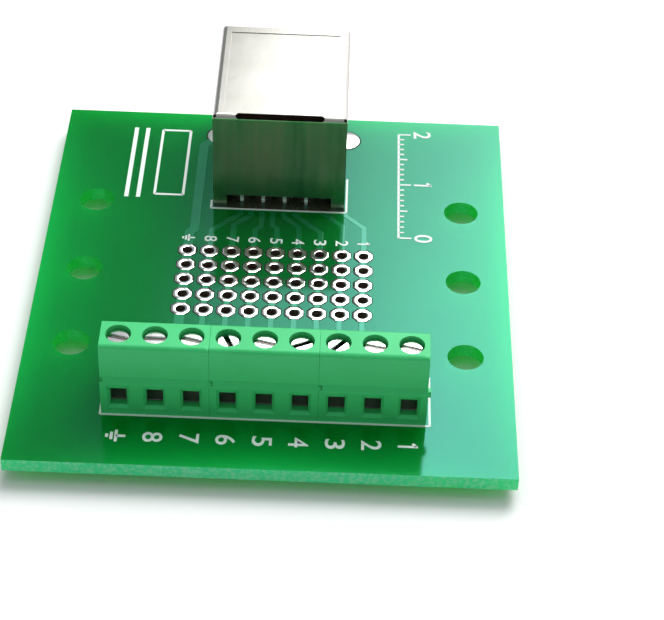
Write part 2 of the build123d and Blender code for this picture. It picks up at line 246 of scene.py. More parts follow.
def masked_laminate():
    """Glossy green mask over woven laminate, with pale sawn edges where the mask ends."""
    finish = Finish("masked_laminate", MASK_GREEN, 0.1)
    glossy_mask(finish)
    mask = finish.ramp(finish.noise(90, 4.0), (0.3, MASK_DEEP), (0.7, MASK_GREEN))
    from_middle_x = finish.maths("ABSOLUTE", finish.axis("X"))
    from_middle_y = finish.maths("ABSOLUTE", finish.maths("SUBTRACT", finish.axis("Y"), middle_y))
    half_depth = board_high.y - middle_y

    # Painted light: the mask is lighter beside the sawn edges, for light that enters there and shows through.
    past_side = finish.maths("SUBTRACT", from_middle_x, board_high.x)
    past_end = finish.maths("SUBTRACT", from_middle_y, half_depth)
    to_edge = finish.maths("DIVIDE", finish.maths("MAXIMUM", past_side, past_end), -LIT_REACH)
    lit = finish.ramp(to_edge, (0.0, grey(1.0)), (0.35, grey(0.30)), (1.0, grey(0.0)))
    mask = finish.mix(lit, mask, MASK_LIT)

    # Painted shade: the mask is darker towards the corners, where less light comes through.
    out_x = finish.maths("DIVIDE", from_middle_x, board_high.x)
    out_y = finish.maths("DIVIDE", from_middle_y, half_depth)
    corner_shade = finish.maths("MULTIPLY", out_x, finish.maths("MULTIPLY", out_y, out_y))
    mask = finish.mix(corner_shade, mask, MASK_CORNER_SHADE)
    # Painted shade: the deck under the jack and just behind it is darkened.
    shaded = under_jack(finish)
    mask = finish.mix(shaded, mask, MASK_SHADED)

    # Upright faces are bare: edges where they lie at the outline, holes further in.
    fibres = finish.noise(2600, 5.0)
    sawn = finish.ramp(fibres, (0.45, EDGE_PALE), (0.66, EDGE_LIGHT))
    drilled = finish.ramp(fibres, (0.45, HOLE_DEEP), (0.66, HOLE_LIGHT))
    bare = finish.mix(finish.maths("GREATER_THAN", to_edge, 0.1), sawn, drilled)
    flat = finish.maths("GREATER_THAN", finish.maths("ABSOLUTE", finish.axis("Z", "Normal")), 0.5)
    finish.colour(finish.mix(flat, bare, mask))
    finish.bump(finish.noise(700, 2.0), 0.004 * mm, 0.35)

    # Half the light passes through, apart from under the jack.
    through = finish.node("ShaderNodeBsdfTranslucent")
    through.inputs["Color"].default_value = GLOW_THROUGH
    both = finish.node("ShaderNodeMixShader")
    open_share = finish.maths("MULTIPLY", finish.maths("SUBTRACT", shaded, 1.0), -0.5)
    finish.link(open_share, both.inputs["Fac"])
    finish.link(finish.shader.outputs[0], both.inputs[1])
    finish.link(through.outputs[0], both.inputs[2])
    finish.link(both.outputs[0], finish.output.inputs["Surface"])
    return finish.material


def masked_copper():
    """Mask over copper, a little lighter where metal backs it, with the painted shade of the jack."""
    finish = Finish("masked_copper", MASK_GREEN, 0.1)
    glossy_mask(finish)
    finish.set("Specular IOR Level", 0.65)
    mask = finish.ramp(finish.noise(400, 3.0), (0.3, COPPER_DEEP), (0.7, COPPER_GREEN))
    # Painted shade under the jack and just behind it, as on the bare mask.
    finish.colour(finish.mix(under_jack(finish), mask, MASK_SHADED))
    return finish.material


def white_ink():
    """Screen-printed ink, a little uneven."""
    finish = Finish("white_ink", (0.86, 0.88, 0.86), 0.5)
    grain = finish.noise(9000, 2.0)
    finish.colour(finish.ramp(grain, (0.35, (0.86, 0.97, 0.92)), (0.6, (0.93, 1.0, 0.96))))
    finish.bump(grain, 0.006 * mm, 0.4)
    return finish.material


# ---- Metals ----------------------------------------------------------------------------------------
def rippled_metal(name, dark, light, roughness, scale, relief):
    """Tin or solder that set from the melt: bright with slow ripples."""
    finish = Finish(name, light, roughness, 1.0)
    ripple = finish.noise(scale, 2.0)
    finish.colour(finish.ramp(ripple, (0.3, dark), (0.7, light)))
    finish.bump(ripple, relief, 0.5)
    return finish.material


# The shell's metal: its clean top and front, its sides painted darker as shade, and its back from streak to
# streak, painted darker and greener as shade and a reflection of the board.
SHEET_CLEAN = ((0.56, 0.545, 0.49), (0.62, 0.605, 0.56))
SHEET_SIDES_SHADE = (0.40, 0.36, 0.35)
SHEET_BACK_STREAKS_AND_SHADE = ((0.17, 0.30, 0.18), (0.29, 0.39, 0.26), (0.44, 0.41, 0.30))


def bright_sheet():
    """Tinned sheet of the jack's shell, with faint rolling lines, its back duller, streaked, and painted
    darker and greener as shade and a reflection of the board.
    """
    finish = Finish("bright_sheet", (0.60, 0.58, 0.54), 0.2, 1.0)
    rolling = finish.noise(1.0, 3.0, finish.stretched((1500, 1500, 40)))
    streaks = finish.noise(1.0, 3.0, finish.stretched((520, 520, 45)))
    patches = finish.noise(160, 3.0)
    facing_back = finish.maths("LESS_THAN", finish.axis("Y", "Normal"), -0.9)
    at_back = finish.maths("LESS_THAN", finish.axis("Y"), shell_low.y + 0.1 * mm)
    back = finish.maths("MULTIPLY", facing_back, at_back)
    # Painted shade: the faces turned to the sides take a darker colour.
    sides = finish.maths("GREATER_THAN", finish.maths("ABSOLUTE", finish.axis("X", "Normal")), 0.7)
    bright = finish.ramp(patches, (0.3, grey(0.19)), (0.75, grey(0.23)))
    dull = finish.ramp(patches, (0.3, grey(0.27)), (0.75, grey(0.32)))
    finish.link(finish.mix(back, bright, dull), finish.shader.inputs["Roughness"])
    clean = finish.ramp(patches, *zip((0.3, 0.7), SHEET_CLEAN))
    # Painted shade and reflection: the back is darker and greener, in streaks.
    back_streaks_and_shade = finish.ramp(streaks, *zip((0.30, 0.48, 0.68), SHEET_BACK_STREAKS_AND_SHADE))
    finish.colour(finish.mix(back, finish.mix(sides, clean, SHEET_SIDES_SHADE), back_streaks_and_shade))
    finish.bump(rolling, 0.004 * mm, 0.4)
    return finish.material


def plated_steel(name, colour, roughness):
    """Plated steel of a screw, cage or strip, with a fine grain."""
    finish = Finish(name, colour, roughness, 1.0)
    grain = finish.noise(3800, 4.0)
    low = tuple(0.86 * c for c in colour)
    finish.colour(finish.ramp(grain, (0.35, low), (0.65, colour)))
    finish.bump(grain, 0.005 * mm, 0.4)
    return finish.material


SLOT_SHADE = 0.16 * mm  # how far down in a slot the painted shade starts


def slotted_steel(name, slot_shade_colour):
    """The screws' plated steel, with painted shade making it darker down in the slot."""
    finish = Finish(name, (0.90, 0.90, 0.89), 0.14, 1.0)
    grain = finish.noise(3800, 4.0)
    bright = finish.ramp(grain, (0.35, (0.80, 0.80, 0.79)), (0.65, (0.92, 0.92, 0.91)))
    head_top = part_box("clamp_screw_1")[1].z
    sunk = finish.maths("LESS_THAN", finish.axis("Z"), head_top - SLOT_SHADE)
    finish.colour(finish.mix(sunk, bright, slot_shade_colour))
    finish.bump(grain, 0.004 * mm, 0.4)
    return finish.material


GILT_LENGTH = 9.0 * mm  # how far in from the port's mouth the wires are gilded


def spring_wire():
    """Contact wire: tinned at the legs, gilded where it meets the plug."""
    finish = Finish("spring_wire", (0.83, 0.62, 0.25), 0.25, 1.0)
    gilded = finish.maths("GREATER_THAN", finish.axis("Y"), shell_high.y - GILT_LENGTH)
    grain = finish.noise(4200, 3.0)
    gilt = finish.ramp(grain, (0.3, (0.76, 0.54, 0.20)), (0.7, (0.87, 0.66, 0.30)))
    tin = finish.ramp(grain, (0.3, (0.88, 0.88, 0.87)), (0.7, (0.97, 0.97, 0.96)))
    finish.link(finish.ramp(gilded, (0.0, grey(0.45)), (1.0, grey(1.0))), finish.shader.inputs["Metallic"])
    finish.colour(finish.mix(gilded, tin, gilt))
    return finish.material


# ---- Plastics --------------------------------------------------------------------------------------
TERMINAL_SHEEN = (0.5, 1.0, 0.88, 1.0)


def moulded(name, colour, deep, roughness, sheen=None):
    """Moulded plastic with a fine eroded grain and slight flow clouds."""
    finish = Finish(name, colour, roughness)
    finish.colour(finish.ramp(finish.noise(220, 3.0), (0.25, deep), (0.75, colour)))
    finish.bump(finish.noise(6000, 2.0), 0.008 * mm, 0.4)
    if sheen:
        finish.set("Specular Tint", sheen)
    return finish.material


mask_finish = masked_laminate()
track_finish = masked_copper()
ink_finish = white_ink()
tin_finish = rippled_metal("levelled_tin", (0.84, 0.84, 0.82), (0.95, 0.95, 0.93), 0.10, 1400, 0.009 * mm)
solder_finish = rippled_metal("solder", (0.68, 0.68, 0.67), (0.84, 0.84, 0.83), 0.25, 900, 0.03 * mm)
filled_finish = rippled_metal("filled_pad", (0.86, 0.86, 0.84), (0.95, 0.95, 0.93), 0.36, 900, 0.01 * mm)
# Near black: painted shade in the gaps of the mask round the pads.
gap_shade_finish = moulded("mask_gap_shade", (0.016, 0.024, 0.014), (0.010, 0.016, 0.010), 0.9)
barrel_finish = moulded("barrel_shade", (0.15, 0.085, 0.08), (0.10, 0.055, 0.05), 0.6)
sheet_finish = bright_sheet()
wire_finish = spring_wire()
# Two levels of painted shade in the screw slots: pale and deep.
pale_slot_shade_finish = slotted_steel("screw_steel", (0.58, 0.57, 0.55))
deep_slot_shade_finish = slotted_steel("screw_steel_deep_slot_shade", (0.10, 0.09, 0.08))
cage_finish = plated_steel("cage_steel", (0.55, 0.53, 0.51), 0.35)
strip_finish = plated_steel("strip_tin", (0.78, 0.78, 0.76), 0.3)
terminal_finish = moulded("terminal_green", (0.062, 0.66, 0.20), (0.052, 0.60, 0.17), 0.38, TERMINAL_SHEEN)
jack_finish = moulded("jack_black", (0.080, 0.045, 0.034), (0.060, 0.034, 0.026), 0.5)


# ---- Small tools for new pieces --------------------------------------------------------------------
def piece(name, shape, material, body="board"):
    """Makes a bmesh an object of the scene that rides on a body."""
    mesh = bpy.data.meshes.new(name)
    shape.to_mesh(mesh)
    shape.free()
    mesh.materials.append(material)
    made = bpy.data.objects.new(name, mesh)
    bpy.context.scene.collection.objects.link(made)
    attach(made, body)
    return made


def bevelled(made, width):
    """Rounds a piece's edges."""
    edge = made.modifiers.new("rounded_edges", "BEVEL")
    edge.width = width
    edge.segments = 2
    edge.limit_method = "ANGLE"
    edge.angle_limit = math.radians(40)


def smooth(made, angle=35):
    """Shades a piece smooth across edges under an angle."""
    for face in made.data.polygons:
        face.use_smooth = True
    made.data.set_sharp_from_angle(angle=math.radians(angle))
    return made


def flat_topped(made):
    """Keeps a piece's broad faces flat in their shading, beside its rounded edges."""
    made.modifiers.new("broad_faces", "WEIGHTED_NORMAL").keep_sharp = True


def join(target, part):
    """Adds one bmesh to another and frees it."""
    mesh = bpy.data.meshes.new("part")
    part.to_mesh(mesh)
    part.free()
    target.from_mesh(mesh)
    bpy.data.meshes.remove(mesh)


def move(shape, x=0.0, y=0.0, z=0.0):
    """Moves a whole bmesh."""
    bmesh.ops.translate(shape, vec=(x, y, z), verts=shape.verts)


def turn(shape, angle):
    """Turns a whole bmesh about Z, in radians."""
    bmesh.ops.rotate(shape, cent=(0, 0, 0), matrix=Matrix.Rotation(angle, 3, "Z"), verts=shape.verts)


def round_off(shape, edges, width, segments):
    """Rounds some edges of a bmesh."""
    bmesh.ops.bevel(
        shape,
        geom=edges,
        affect="EDGES",
        offset=width,
        offset_type="OFFSET",
        segments=segments,
        profile=0.5,
        material=-1,
    )


def spun(profile, steps):
    """A closed ring turned from a profile of (radius, height) points."""
    shape = bmesh.new()
    points = [shape.verts.new((radius, 0.0, z)) for radius, z in profile]
    edges = [shape.edges.new(pair) for pair in zip(points, points[1:] + points[:1])]
    bmesh.ops.spin(
        shape,
        geom=points + edges,
        cent=(0, 0, 0),
        axis=(0, 0, 1),
        angle=2 * math.pi,
        steps=steps,
        use_merge=True,
    )
    bmesh.ops.remove_doubles(shape, verts=shape.verts, dist=1e-8)
    bmesh.ops.recalc_face_normals(shape, faces=shape.faces)
    return shape


def refined(node, material, width, body="board", long_edges=()):
    """A merged copy of a CAD node with its edges rounded, which stands for the node.

    long_edges names top edges along X as (min or max of their Y, width), rounded more than the rest.
    """
    shape = bmesh.new()
    shape.from_mesh(nodes[node].data)
    bmesh.ops.remove_doubles(shape, verts=shape.verts, dist=2e-7)
    bmesh.ops.dissolve_limit(
        shape, angle_limit=math.radians(1.0), verts=shape.verts, edges=shape.edges, delimit={"NORMAL"}
    )
    for pick, wide in long_edges:
        top = max(vert.co.z for vert in shape.verts) - 1e-6
        rim = [edge for edge in shape.edges if min(vert.co.z for vert in edge.verts) > top]
        place = pick(edge.verts[0].co.y for edge in rim)
        line = [edge for edge in rim if all(abs(vert.co.y - place) < 4e-6 for vert in edge.verts)]
        round_off(shape, line, wide, 4)
    made = piece(f"{node}_finished", shape, material, body)
    bevelled(made, width)
    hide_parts(node)
    flat_topped(smooth(made))


def dress(name, material):
    """Gives a CAD node its finish."""
    slots = nodes[name].data.materials
    slots.clear()
    slots.append(material)


# ---- Tracks under the mask -------------------------------------------------------------------------
TRACK_WIDTH = 0.7 * mm
SHIELD_TRACK_WIDTH = 1.2 * mm
TRACK_RISE = 0.03 * mm
TRACK_EASE = 0.06 * mm
SUNK = 0.01 * mm  # how far thin pieces reach into what they lie on
# How far up the board each contact's track bends out towards its column, in millimetres.
FAN_START = {8: 10.93, 7: 10.8, 6: 8.75, 5: 9.05, 4: 10.7, 3: 11.15, 2: 13.7, 1: 14.75}
SHORTEST_RUN = 0.1 * mm
FAN_END = row_y[0] - 3.3 * mm  # where the tracks bend out again, below the grid
PAD_REACH = 0.9 * mm  # how far from a pad's middle a track ends
# The shield's track: the line it follows beside the jack, and where it turns in from there.
SHIELD_LINE = -9.65 * mm
SHIELD_TURN_IN = 7.75 * mm


def ribbon(points, width, rise, ease=0.0):
    """A flat ribbon on the deck along mitred runs, its sides eased inwards towards the top."""
    shape = bmesh.new()
    points = [Vector(point) for point, last in zip(points, [None, *points]) if point != last]
    across = [Vector((-step.y, step.x)).normalized() for step in (b - a for a, b in zip(points, points[1:]))]
    rows = []
    for point, before, after in zip(points, across[:1] + across, across + across[-1:]):
        side = (before + after).normalized()
        side /= side.dot(before)
        section = (
            (width / 2, deck - SUNK),
            (width / 2 - ease, deck + rise),
            (ease - width / 2, deck + rise),
            (-width / 2, deck - SUNK),
        )
        rows.append([shape.verts.new((*(point + reach * side), z)) for reach, z in section])
    for row, following in zip(rows, rows[1:]):
        for i in range(4):
            j = (i + 1) % 4
            shape.faces.new((row[i], row[j], following[j], following[i]))
    shape.faces.new(rows[0])
    shape.faces.new(rows[-1])
    bmesh.ops.recalc_face_normals(shape, faces=shape.faces)
    return shape


def track(start, column, terminal, width):
    """From its first points to a column, from pad to pad down it, and out to a terminal."""
    shape = ribbon([*start, (column, row_y[-1] + PAD_REACH)], width, TRACK_RISE, TRACK_EASE)
    for near, far in zip(row_y, row_y[1:]):
        between = [(column, far - PAD_REACH), (column, near + PAD_REACH)]
        join(shape, ribbon(between, width, TRACK_RISE, TRACK_EASE))
    out = [
        (column, row_y[0] - PAD_REACH),
        (column, FAN_END),
        (terminal, FAN_END - abs(terminal - column)),
        (terminal, strip_leg_y),
    ]
    join(shape, ribbon(out, width, TRACK_RISE, TRACK_EASE))
    return shape


tracks = bmesh.new()
for number in range(1, CONTACTS + 1):
    leg_x, leg_y = leg_place[number]
    column = column_x[POLES - number]
    bend = FAN_START[number] * mm
    start = [
        (leg_x, max(leg_y, bend + SHORTEST_RUN)),
        (leg_x, bend),
        (column, bend - abs(column - leg_x)),
    ]
    join(tracks, track(start, column, pole_x[POLES - number], TRACK_WIDTH))

# The shield's track runs along the jack's side to the first column.
start = [
    (-shield_leg_x, shield_leg_y),
    (SHIELD_LINE, shield_leg_y - abs(SHIELD_LINE + shield_leg_x)),
    (SHIELD_LINE, SHIELD_TURN_IN),
    (column_x[0], SHIELD_TURN_IN - abs(column_x[0] - SHIELD_LINE)),
]
join(tracks, track(start, column_x[0], pole_x[0], SHIELD_TRACK_WIDTH))
piece("copper_tracks", tracks, track_finish)

# ---- Plated holes and pads -------------------------------------------------------------------------
TIN_RISE = 0.03 * mm
LINING = 0.03 * mm
SHOULDER = 0.12 * mm  # the width of a grid pad's sloping rim
DRAWN_FROM = 0.13 * mm  # how far in from a grid pad's rim it is still round
PAD_SIDES = 8
SPIN_STEPS = 48
RING_STEPS = 40
RING_SLOPE = 0.1 * mm
# Outer radius and hole's radius of each kind of pad.
GRID_PAD = (1.01 * mm, 0.57 * mm)
STRIP_PAD = (1.15 * mm, 0.62 * mm)
WIRE_PAD_ABOVE = (0.62 * mm, 0.30 * mm)
WIRE_PAD_BELOW = (1.12 * mm, 0.35 * mm)
SHIELD_PAD_BELOW = (1.75 * mm, 0.78 * mm)
SHIELD_PAD_R = 1.79 * mm
# The ring round a pad, coloured near black as painted shade in the gap of the mask: its height, and its reach
# under the pad and beyond it.
OPENING_RISE = 0.012 * mm
OPENING_UNDER = 0.05 * mm
OPENING_BEYOND = 0.13 * mm


def draw_out(shape, beyond, sides):
    """Draws a round rim out to flats, from a radius outwards."""
    sector = 2 * math.pi / sides
    for vert in shape.verts:
        if vert.co.xy.length > beyond:
            off = (math.atan2(vert.co.y, vert.co.x) + sector / 2) % sector - sector / 2
            vert.co.xy /= math.cos(off)


def mask_opening(x, y, pad_r, sides=0):
    """The narrow ring round a pad where the mask stays clear of it, coloured near black as painted shade."""
    low, high = deck - SUNK, deck + OPENING_RISE
    inner, outer = pad_r - OPENING_UNDER, pad_r + OPENING_BEYOND
    shape = spun([(inner, low), (outer, low), (outer, high), (inner, high)], SPIN_STEPS)
    if sides:
        draw_out(shape, 0.0, sides)
    move(shape, x, y)
    return shape


def lined_hole(x, y, pad_r, hole_r):
    """A lined hole with a domed pad on each side, turned, its pads then drawn out to flats."""
    shape = spun(
        [
            (hole_r, underside - 0.3 * TIN_RISE),
            (hole_r + SHOULDER, underside - TIN_RISE),
            (pad_r - SHOULDER, underside - TIN_RISE),
            (pad_r, underside + SUNK),
            (hole_r + LINING, underside + SUNK),
            (hole_r + LINING, deck),
            (pad_r, deck),
            (pad_r, pad_top),
            (pad_r - SHOULDER, pad_top + TIN_RISE),
            (hole_r + SHOULDER, pad_top + TIN_RISE),
            (hole_r, pad_top),
        ],
        SPIN_STEPS,
    )
    draw_out(shape, pad_r - DRAWN_FROM, PAD_SIDES)
    # The wall of the hole takes the second material.
    for face in shape.faces:
        centre = face.calc_center_median()
        at_wall = centre.xy.length < hole_r + 0.01 * mm
        if at_wall and underside < centre.z < deck + 0.02 * mm:
            face.material_index = 1
    move(shape, x, y)
    return shape


plating = bmesh.new()
openings = bmesh.new()
for y in row_y:
    for x in column_x:
        join(plating, lined_hole(x, y, *GRID_PAD))
        join(openings, mask_opening(x, y, GRID_PAD[0], PAD_SIDES))
grid_plating = smooth(piece("grid_plating", plating, tin_finish), 50)
grid_plating.data.materials.append(barrel_finish)


def pad_ring(x, y, pad_r, hole_r, low, high):
    """A flat plated ring round a soldered lead."""
    shape = spun([(hole_r, low), (pad_r, low), (pad_r - RING_SLOPE, high), (hole_r, high)], RING_STEPS)
    move(shape, x, y)
    return shape


def soldered_pad(x, y, pad_r):
    """A round pad filled with solder that rises to the leg in its middle."""
    high = pad_top + TIN_RISE
    flat = [(0.0, deck), (pad_r, deck), (pad_r - RING_SLOPE, high)]
    cone = [(0.8 * mm, high + 0.03 * mm), (0.4 * mm, high + 0.1 * mm), (0.0, high + 0.14 * mm)]
    shape = spun(flat + cone, RING_STEPS)
    move(shape, x, y)
    return shape


below = (underside, underside - TIN_RISE)
lead_pads = bmesh.new()
filled_pads = bmesh.new()
for x in pole_x:
    join(lead_pads, pad_ring(x, strip_leg_y, *STRIP_PAD, *below))
for x, y in leg_place.values():
    join(lead_pads, pad_ring(x, y, *WIRE_PAD_ABOVE, deck, pad_top))
    join(lead_pads, pad_ring(x, y, *WIRE_PAD_BELOW, *below))
for side in (-1, 1):
    x = side * shield_leg_x
    join(filled_pads, soldered_pad(x, shield_leg_y, SHIELD_PAD_R))
    join(lead_pads, pad_ring(x, shield_leg_y, *SHIELD_PAD_BELOW, *below))
    join(openings, mask_opening(x, shield_leg_y, SHIELD_PAD_R))
smooth(piece("lead_pads", lead_pads, tin_finish), 50)
smooth(piece("filled_pads", filled_pads, filled_finish), 50)
piece("mask_openings", openings, gap_shade_finish)

# ---- Ink -------------------------------------------------------------------------------------------
INK_RISE = 0.05 * mm
LINE = 0.25 * mm
BOLDER = 0.006  # how far a numeral's outline is drawn out, as a share of the type's size
NUMERAL_ASPECT = 0.66
# The row of numerals in front of the terminals: its place and height, and the height of its earth symbol.
FRONT_ROW_Y = -26.45 * mm
FRONT_HEIGHT = 2.1 * mm
FRONT_GROUND = 2.0 * mm
# The row above the grid, measured from the topmost pads.
GRID_ROW_UP = 2.17 * mm
GRID_HEIGHT = 1.45 * mm
GRID_GROUND_UP = 2.2 * mm
GRID_GROUND = 1.4 * mm
# The marks round the jack's back corners, and the frame round the blocks.
JACK_GAP = 0.25 * mm
BEHIND_JACK = 0.6 * mm
LEFT_MARK = 1.5 * mm
RIGHT_MARK = 6.4 * mm
BLOCK_GAP = 0.12 * mm
# The label's middle and size, and the ruler's start and its length in millimetres.
LABEL = (-13.2 * mm, 20.3 * mm, 3.4 * mm, 12.6 * mm)
LABEL_LINE = 0.32 * mm
RULED_LINE = 0.5 * mm
RULER = (14.2 * mm, 7.5 * mm, 20)
RULER_LINE = 0.26 * mm
TICK_LINE = 0.24 * mm


def mesh_of(curve):
    """A curve or text as a merged bmesh."""
    holder = bpy.data.objects.new("outline", curve)
    bpy.context.scene.collection.objects.link(holder)
    bpy.context.view_layer.update()
    mesh = bpy.data.meshes.new_from_object(holder)
    shape = bmesh.new()
    shape.from_mesh(mesh)
    bpy.data.objects.remove(holder)
    bpy.data.meshes.remove(mesh)
    bpy.data.curves.remove(curve)
    bmesh.ops.remove_doubles(shape, verts=shape.verts, dist=1e-7)
    bmesh.ops.recalc_face_normals(shape, faces=shape.faces)
    return shape


def glyph(text, x, y, height, width):
    """A numeral in ink, its top towards +X, fitted to a height and a width."""
    letters = bpy.data.curves.new("glyph", "FONT")
    letters.body = text
    letters.extrude = INK_RISE
    letters.offset = BOLDER
    shape = mesh_of(letters)
    for axis, size in ((0, width), (1, height)):
        places = [vert.co[axis] for vert in shape.verts]
        low, high = min(places), max(places)
        scale = size / (high - low)
        for vert in shape.verts:
            vert.co[axis] = (vert.co[axis] - (low + high) / 2) * scale
    turn(shape, -math.pi / 2)
    move(shape, x, y, deck)
    return shape


def inked(points, width=LINE):
    """A line of ink through points, each run a ribbon of its own so that corners stay square."""
    shape = bmesh.new()
    for start, end in zip(points, points[1:]):
        join(shape, ribbon([start, end], width, INK_RISE))
    return shape


def inked_frame(low_x, low_y, high_x, high_y, width=LINE):
    """A rectangle drawn in ink."""
    corners = [(low_x, low_y), (high_x, low_y), (high_x, high_y), (low_x, high_y), (low_x, low_y)]
    return inked(corners, width)


def ground_mark(x, y, size):
    """The plain earth symbol, its stem towards +X: three bars, each with its step and half its width."""
    stroke = 0.16 * size
    shape = inked([(x + 0.5 * size, y), (x, y)], stroke)
    for step, half in ((0.0, 0.42), (-0.24, 0.27), (-0.48, 0.12)):
        bar_x = x + step * size
        join(shape, inked([(bar_x, y - half * size), (bar_x, y + half * size)], stroke))
    return shape


def figure(text, x, y, height):
    """A plain numeral; the one is drawn as a stroke with a small flag."""
    if text != "1":
        return glyph(text, x, y, height, NUMERAL_ASPECT * height)
    stroke = 0.14 * height
    top, flag = x + height / 2, y + 0.22 * height
    shape = inked([(x - height / 2, y), (top, y)], stroke)
    join(shape, inked([(top - 0.5 * stroke, y), (top - 0.26 * height, flag)], stroke))
    return shape


ink = bmesh.new()
for i in range(1, POLES):
    numeral = str(POLES - i)
    join(ink, figure(numeral, pole_x[i], FRONT_ROW_Y, FRONT_HEIGHT))
    join(ink, figure(numeral, column_x[i], row_y[-1] + GRID_ROW_UP, GRID_HEIGHT))
join(ink, ground_mark(pole_x[0], FRONT_ROW_Y, FRONT_GROUND))
join(ink, ground_mark(column_x[0], row_y[-1] + GRID_GROUND_UP, GRID_GROUND))

jack_left, jack_right = shell_low.x - JACK_GAP, shell_high.x + JACK_GAP
behind_jack = shell_low.y - BEHIND_JACK
corner_marks = [
    (jack_left, behind_jack + LEFT_MARK),
    (jack_left, behind_jack),
    (jack_right, behind_jack),
    (jack_right, behind_jack + RIGHT_MARK),
]
join(ink, inked(corner_marks))
frame_low = (block_low.x - BLOCK_GAP, block_low.y - BLOCK_GAP)
frame_high = (block_high.x + BLOCK_GAP, block_high.y + BLOCK_GAP)
join(ink, inked_frame(*frame_low, *frame_high))


def write_on_label(x, y, width, depth):
    """A bare framed place to write in, with two ruled lines beside it."""
    shape = inked_frame(x - width / 2, y - depth / 2, x + width / 2, y + depth / 2, LABEL_LINE)
    low, high = y - depth / 2 - 0.7 * mm, y + depth / 2 + 0.3 * mm
    for step in (1.9, 3.3):
        line_x = x - width / 2 - step * mm
        join(shape, inked([(line_x, low), (line_x, high)], RULED_LINE))
    return shape


def ruler(x, y, length):
    """A millimetre scale along Y: ticks on a line, a numeral each centimetre."""
    shape = inked([(x, y), (x, y + length * mm)], RULER_LINE)
    for step in range(length + 1):
        reach = 1.5 if step % 10 == 0 else 1.05 if step % 5 == 0 else 0.65
        join(shape, inked([(x, y + step * mm), (x + reach * mm, y + step * mm)], TICK_LINE))
    for step in range(0, length + 1, 10):
        numeral = str(step // 10)
        join(shape, figure(numeral, x + 2.9 * mm, y + step * mm, FRONT_HEIGHT))
    return shape


join(ink, write_on_label(*LABEL))
join(ink, ruler(*RULER))
piece("board_ink", ink, ink_finish)

# ---- Clamp screws ----------------------------------------------------------------------------------
HEAD_R = 1.16 * mm
HEAD_HEIGHT = 1.3 * mm
HEAD_EASE = 0.09 * mm
HEAD_STEPS = 56
SLOT_WIDTH = 0.42 * mm
SLOT_DEPTH = 0.5 * mm
# How each slot was left, in degrees anticlockwise from along X.
SLOT_ANGLES = (-14, 0, -15, -66, -15, 27, 49, -12, -16)
DARK_SLOT_FROM = 20  # the slots turned further than this get the darker painted shade
THREAD_R = 0.94 * mm
THREAD_DEPTH = 0.12 * mm
THREAD_PITCH = 0.4 * mm
THREAD_STEPS = 28
SHANK_OVERLAP = 0.05 * mm  # how far the shank reaches into the head
FOOT_TAPER = 0.1 * mm


def disc(low, high):
    """A plain disc as wide as the head."""
    shape = bmesh.new()
    bmesh.ops.create_cone(
        shape, cap_ends=True, segments=HEAD_STEPS, radius1=HEAD_R, radius2=HEAD_R, depth=high - low
    )
    move(shape, z=(low + high) / 2)
    return shape


def half_head(side, low, high):
    """One side of a slotted head: a disc cut off flat and eased round its top."""
    shape = disc(low, high)
    parts = shape.verts[:] + shape.edges[:] + shape.faces[:]
    cut = bmesh.ops.bisect_plane(
        shape,
        geom=parts,
        plane_co=(0, side * SLOT_WIDTH / 2, 0),
        plane_no=(0, side, 0),
        clear_inner=True,
    )["geom_cut"]
    bmesh.ops.contextual_create(shape, geom=[part for part in cut if isinstance(part, bmesh.types.BMEdge)])
    bmesh.ops.recalc_face_normals(shape, faces=shape.faces)
    top = [edge for edge in shape.edges if all(vert.co.z > high - 1e-6 for vert in edge.verts)]
    round_off(shape, top, HEAD_EASE, 3)
    return shape


def threaded_shank(foot, top):
    """The screw's shank with the ridges of its thread."""
    deep = THREAD_R - THREAD_DEPTH
    profile = [(0.0, top), (deep, top)]
    z = top - THREAD_PITCH / 2
    while z > foot + 0.75 * THREAD_PITCH:
        profile += [(THREAD_R, z), (deep, z - THREAD_PITCH / 2)]
        z -= THREAD_PITCH
    profile += [(deep - FOOT_TAPER, foot), (0.0, foot)]
    return spun(profile, THREAD_STEPS)


def screw(index):
    """A slotted clamp screw, its slot as it was left."""
    name = f"clamp_screw_{index + 1}"
    low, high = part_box(name)
    floor = high.z - SLOT_DEPTH
    neck = high.z - HEAD_HEIGHT
    shape = disc(neck, floor)
    for side in (-1, 1):
        join(shape, half_head(side, floor - SUNK, high.z))
    join(shape, threaded_shank(low.z, neck + SHANK_OVERLAP))
    turn(shape, math.radians(SLOT_ANGLES[index]))
    move(shape, pole_x[index], screw_y)
    finish = deep_slot_shade_finish if abs(SLOT_ANGLES[index]) > DARK_SLOT_FROM else pale_slot_shade_finish
    made = piece(f"slotted_screw_{index + 1}", shape, finish, f"screw_{index + 1}")
    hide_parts(name)
    flat_topped(smooth(made, 30))


for index in range(POLES):
    screw(index)

# ---- Mouldings, sheet metal and wires --------------------------------------------------------------
# How far each kind of piece has its edges rounded.
BLOCK_EDGE = 0.012 * mm
SHELL_EDGE = 0.05 * mm
HOUSING_EDGE = 0.08 * mm
CARRIER_EDGE = 0.05 * mm
CAGE_EDGE = 0.07 * mm
STRIP_EDGE = 0.06 * mm
WIRE_EDGE = 0.1 * mm
# The long top edges that are rounder than the rest: the blocks' front and back ones, the shell's back one.
BLOCK_TOP = [(min, 0.52 * mm), (max, 0.2 * mm)]
SHELL_TOP = [(min, 0.2 * mm)]

